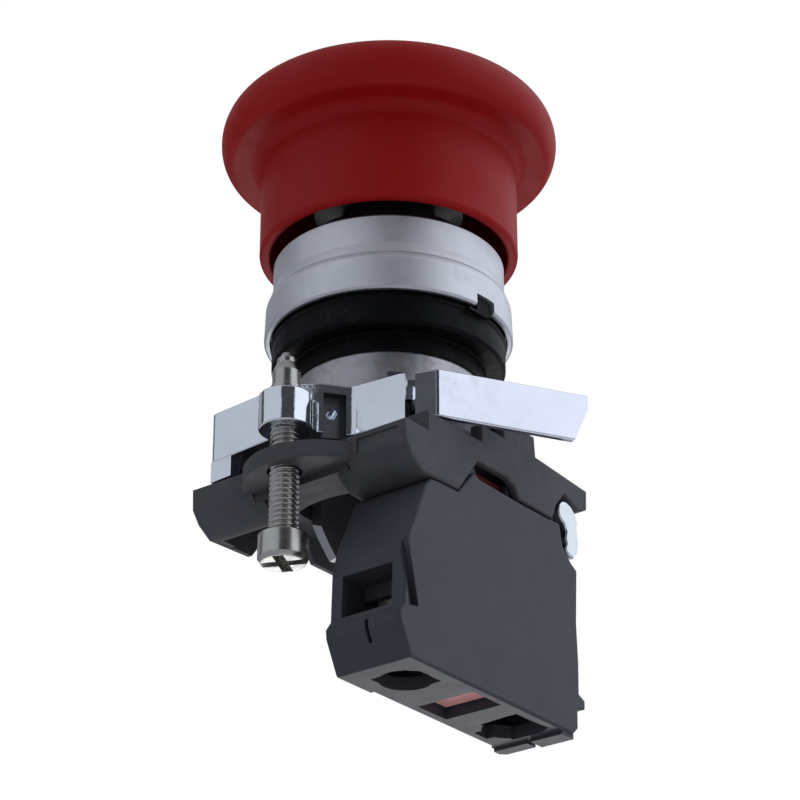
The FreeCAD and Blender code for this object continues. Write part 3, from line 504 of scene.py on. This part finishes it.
# ---------------------------------------------------------------- threaded screws
def thread_bm(r, depth, pitch, z0, z1, cx, cy, segs=64, per=10, run_out=0.6, bm=None, hand=1.0, chamfer=0.35):
    """A shank with a true helical V thread between z0 and z1 (z0 < z1), closed at both ends."""
    bm = bm or bmesh.new()
    nz = max(8, int(round((z1 - z0) / pitch * per)))
    rings = []
    for k in range(nz + 1):
        z = z0 + (z1 - z0) * k / nz
        fade = min(1.0, (z - z0) / run_out, (z1 - z) / run_out)
        fade = max(0.0, fade)
        ring = []
        for i in range(segs):
            th = 2 * math.pi * i / segs
            ph = (z / pitch - hand * th / (2 * math.pi)) % 1.0
            tri = 1.0 - abs(2.0 * ph - 1.0)
            tri = min(1.0, max(0.0, (tri - 0.10) / 0.72))
            tri = tri * tri * (3 - 2 * tri) * 0.5 + tri * 0.5
            rad = (r - depth) + depth * tri
            end = min(z - z0, z1 - z)
            if end < chamfer:
                rad = min(rad, r - depth - 0.12 + (depth + 0.12) * end / chamfer)
            rad = min(rad, r)
            ring.append(bm.verts.new(((cx + rad * math.cos(th)) * MM, (cy + rad * math.sin(th)) * MM, z * MM)))
        rings.append(ring)
    for k in range(nz):
        a, b = rings[k], rings[k + 1]
        for i in range(segs):
            j = (i + 1) % segs
            bm.faces.new([a[i], a[j], b[j], b[i]])
    bm.faces.new(list(reversed(rings[0])))
    bm.faces.new(rings[-1])
    return bm


def screw_piece(node, r, depth, pitch, z_head, z_tip, cx, cy, head_r, head_h, slots, nose=None, dome=0.0, shank_top=0.0):
    """Cheese-head screw pointing up: head from z_head - head_h to z_head, thread above it."""
    zh = z_head
    hp = [(0.0, zh), (head_r - 0.15, zh), (head_r, zh - 0.15), (head_r, zh - head_h + 0.45), (head_r - 0.3, zh - head_h), (0.0, zh - head_h)]
    hp = rounded(hp, {"all": 0.0, 1: 0.12, 2: 0.12, 3: 0.35, 4: 0.35}, 5, closed=False)
    head = to_obj(lathe_bm(hp, 96, cx, cy, closed=False), "h")
    for w, ln, dep, rot in slots:
        cut = to_obj(box_bm(cx - ln, cx + ln, cy - w, cy + w, zh - head_h - 1.0, zh - head_h + dep, rot=rot, cx=cx, cy=cy), "cut")
        boolean(head, cut)
    bm = bmesh.new()
    bm.from_mesh(head.data)
    bmesh.ops.remove_doubles(bm, verts=bm.verts, dist=1e-6)
    me = head.data
    bpy.data.objects.remove(head)
    bpy.data.meshes.remove(me)
    thread_bm(r, depth, pitch, zh - 0.05, z_tip, cx, cy, bm=bm)
    if nose:
        lathe_bm([(0.0, z_tip - 0.3), (nose[0], z_tip - 0.3), (nose[0], nose[1] - 0.15), (nose[0] - 0.15, nose[1]), (0.0, nose[1])], 48, cx, cy, closed=False, bm=bm)
    return adopt(finish_mesh(bm, "p_" + node, 42.0), node)


SY = -18.2
screw_piece("clamp_screw", 1.65, 0.26, 0.6, -26.4, -9.6, 0.0, SY, 2.75, 3.2, [(0.62, 4.0, 1.6, 25.0), (0.62, 2.2, 1.6, 115.0)], nose=(1.0, -5.4))
screw_piece("terminal_screw_a", 1.5, 0.22, 0.6, -38.0, -31.5, 10.25, -10.2, 2.3, 1.7, [(0.4, 3.0, 0.9, 35.0), (0.4, 1.5, 0.9, 125.0)])
screw_piece("terminal_screw_b", 1.5, 0.22, 0.6, -38.0, -31.5, 10.25, 8.2, 2.3, 1.7, [(0.4, 3.0, 0.9, -20.0), (0.4, 1.5, 0.9, 70.0)])


def foot_piece():
    p = [(1.06, -9.5), (1.62, -9.5), (1.75, -9.35), (1.75, -8.75), (1.55, -8.6), (1.55, -6.95), (1.4, -6.6), (0.5, -4.55), (0.0, -4.3), (0.0, -5.3), (1.06, -5.3)]
    q = rounded(p, {"all": 0.0, 1: 0.08, 2: 0.08, 3: 0.08, 5: 0.08, 6: 0.12, 7: 0.3}, 4)
    q = [(max(0.0, a), b) for a, b in q]
    return adopt(finish_mesh(lathe_bm(q, 72, 0.0, SY), "p_pressure_foot", 40.0), "pressure_foot")


foot_piece()


# ---------------------------------------------------------------- springs: true helices
def spring_piece(node, r, wire, z0, z1, turns, cx=0.0, cy=0.0, ends=0.75):
    """Round-wire compression spring, a helix of even pitch with capped wire ends."""
    steps = int(48 * (turns + 2 * 0.0)) + 1
    h0, h1 = z0 + wire / 2, z1 - wire / 2
    path = []
    for k in range(steps):
        t = k / (steps - 1)
        a = 2 * math.pi * turns * t
        path.append(Vector((cx + r * math.cos(a), cy + r * math.sin(a), h0 + (h1 - h0) * t)))
    bm = bmesh.new()
    ring_n = 12
    rings = []
    for k, p in enumerate(path):
        q0, q1 = path[max(0, k - 1)], path[min(steps - 1, k + 1)]
        tan = (q1 - q0).normalized()
        out = Vector((p.x - cx, p.y - cy, 0)).normalized()
        upv = tan.cross(out).normalized()
        out = upv.cross(tan).normalized()
        rings.append([bm.verts.new((p + (out * math.cos(2 * math.pi * i / ring_n) + upv * math.sin(2 * math.pi * i / ring_n)) * wire / 2) * MM) for i in range(ring_n)])
    for k in range(steps - 1):
        for i in range(ring_n):
            j = (i + 1) % ring_n
            bm.faces.new([rings[k][i], rings[k][j], rings[k + 1][j], rings[k + 1][i]])
    bm.faces.new(rings[0])
    bm.faces.new(rings[-1])
    return adopt(finish_mesh(bm, "p_" + node, 50.0), node)


spring_piece("twist_spring", 7.5, 0.8, 22.7, 27.4, 4)
spring_piece("return_spring", 7.1, 0.9, -0.45, 8.35, 4)
spring_piece("contact_spring", 1.1, 0.4, -36.1, -32.1, 5, 10.7, -0.3)
spring_piece("plunger_spring", 1.5, 0.4, -24.15, -17.75, 4, 10.95, 0.85)

# ---------------------------------------------------------------- other nodes: cleaned smooth-shaded copies and their materials
fcol = refined("fixing_collar", 0, 3)
# The collar's pocket faces get the dark zinc: painted dark reflection and painted shade in the recess
fcol.data.materials.append(MAT["zinc_dull"])
for f in fcol.data.polygons:
    c = f.center / MM
    d = (c.x - 1.9) * 0.595 + (c.y + 14.6) * 0.804
    w_in = (c.x - 1.9) * -0.804 + (c.y + 14.6) * 0.595
    if 0.3 < d < 3.0 and w_in > 0.05 and w_in < 1.6 and -12.8 < c.z < -8.0:
        f.material_index = 1
lr = refined("lock_ring", 0, 3, mat="lever_zinc")
# The lock ring's inner faces, arm and short root face get the dark zinc: painted dark reflection and painted shade
lr.data.materials.append(MAT["zinc_dull"])
for f in lr.data.polygons:
    c = f.center / MM
    short = 0.316 * f.normal.x - 0.949 * f.normal.y
    if math.hypot(c.x, c.y) < 13.8 or (c.x < 11.95 and c.y < -6.0) or (short > 0.985 and c.x < 14.2 and c.y < -9.0):
        f.material_index = 1
refined("head_body", 0, 2)
refined("block_carrier", 0, 3)
refined("block_housing", 0, 3)
refined("block_cover", 0, 2)
bp = refined("block_plunger", 0, 2)
# Faces above z = -26 mm get the darker red: painted shade on the plunger's upper part
bp.data.materials.append(MAT["plunger_painted_shade"])
for f in bp.data.polygons:
    if f.center.z > -0.026:
        f.material_index = 1
refined("block_clip", 0, 3, mat="clip_zinc")
for nm in ("mushroom_hub", "push_stem", "pusher_foot", "stem_circlip", "stem_seal", "detent_ring", "contact_bridge", "bridge_rivets", "fixed_contact_a", "fixed_contact_b", "fixed_rivets", "saddle_clamp_a", "saddle_clamp_b", "clip_pin"):
    o = nodes[nm]
    o.data.materials.clear()
    o.data.materials.append(MAT[SLOT[nm]])

# ---------------------------------------------------------------- stage and light
bm = bmesh.new()
R = 3.0
fz = -0.30
vs = [bm.verts.new((x, y, fz)) for x, y in ((-R, -R), (R, -R), (R, R), (-R, R))]
bm.faces.new(vs)
floor = to_obj(bm, "floor")
fm = bpy.data.materials.new("floor")
fm.use_nodes = True
fb = fm.node_tree.nodes["Principled BSDF"]
fb.inputs["Base Color"].default_value = (0.66, 0.66, 0.67, 1)
fb.inputs["Roughness"].default_value = 0.9
fb.inputs["Specular IOR Level"].default_value = 0.1
floor.data.materials.append(fm)

world = bpy.data.worlds.new("studio")
scene.world = world
world.use_nodes = True
wt = world.node_tree
wt.nodes.clear()
w = NT(wt)
tc = w.n("ShaderNodeTexCoord")
sep = w.n("ShaderNodeSeparateXYZ")
w.link(tc.outputs["Generated"], sep.inputs[0])
X, Y, Z = sep.outputs
hyp = w.math("SQRT", w.math("ADD", w.math("ADD", w.math("MULTIPLY", X, X), w.math("MULTIPLY", Y, Y)), 1e-6))
el = w.math("ARCSINE", Z)


def panel(az, half, soft, el_lo, el_hi, el_soft, power):
    """A soft panel of light on the dome, by azimuth and elevation in degrees."""
    ca, sa = math.cos(math.radians(az)), math.sin(math.radians(az))
    c = w.math("DIVIDE", w.math("ADD", w.math("MULTIPLY", X, ca), w.math("MULTIPLY", Y, sa)), hyp)
    f = w.smooth(c, math.cos(math.radians(min(179.0, half + soft))), math.cos(math.radians(max(0.5, half - soft))))
    g1 = w.smooth(el, math.radians(el_lo - el_soft), math.radians(el_lo + el_soft))
    g2 = w.smooth(el, math.radians(el_hi - el_soft), math.radians(el_hi + el_soft), 1.0, 0.0)
    return w.math("MULTIPLY", w.math("MULTIPLY", f, g1), w.math("MULTIPLY", g2, power))


LEVEL = 1.0
total = w.smooth(el, math.radians(20), math.radians(85), 0.040, 0.46)
for args in (
    (44.0, 56.0, 1.5, -16.0, 62.0, 6.0, 0.92),      # wide panel on the right
    (-112.0, 43.0, 2.0, -10.0, 58.0, 6.0, 0.50),    # panel on the left
    (150.0, 35.0, 14.0, 5.0, 60.0, 12.0, 0.30),     # behind
):
    total = w.math("ADD", total, panel(*args))
bg = w.n("ShaderNodeBackground")
bg.inputs["Color"].default_value = (0.92, 0.965, 1.05, 1)
w.link(w.math("MULTIPLY", total, LEVEL), bg.inputs["Strength"])
bg2 = w.n("ShaderNodeBackground")
bg2.inputs["Color"].default_value = (1, 1, 1, 1)
bg2.inputs["Strength"].default_value = 1.0
lp = w.n("ShaderNodeLightPath")
mx = w.n("ShaderNodeMixShader")
w.link(lp.outputs["Is Camera Ray"], mx.inputs[0])
w.link(bg.outputs[0], mx.inputs[1])
w.link(bg2.outputs[0], mx.inputs[2])
wo = w.n("ShaderNodeOutputWorld")
w.link(mx.outputs[0], wo.inputs[0])


def area(name, loc, target, size, power, color=(1, 1, 1), spread=180.0, glossy=True):
    d = bpy.data.lights.new(name, "AREA")
    d.shape = "RECTANGLE"
    d.size, d.size_y = size
    d.energy = power
    d.color = color
    o = bpy.data.objects.new(name, d)
    coll.objects.link(o)
    o.visible_camera = False
    o.visible_glossy = glossy
    d.spread = math.radians(spread)
    dirv = (Vector(target) - Vector(loc)).normalized()
    o.matrix_world = Matrix.Translation(Vector(loc)) @ dirv.to_track_quat("-Z", "Y").to_matrix().to_4x4()
    return o


area("below", (-0.32, 0.42, -0.26), (0, 0, -0.02), (0.30, 0.20), 0.42)
area("under", (0.06, 0.03, -0.28), (0, 0, 0), (0.22, 0.22), 0.05)
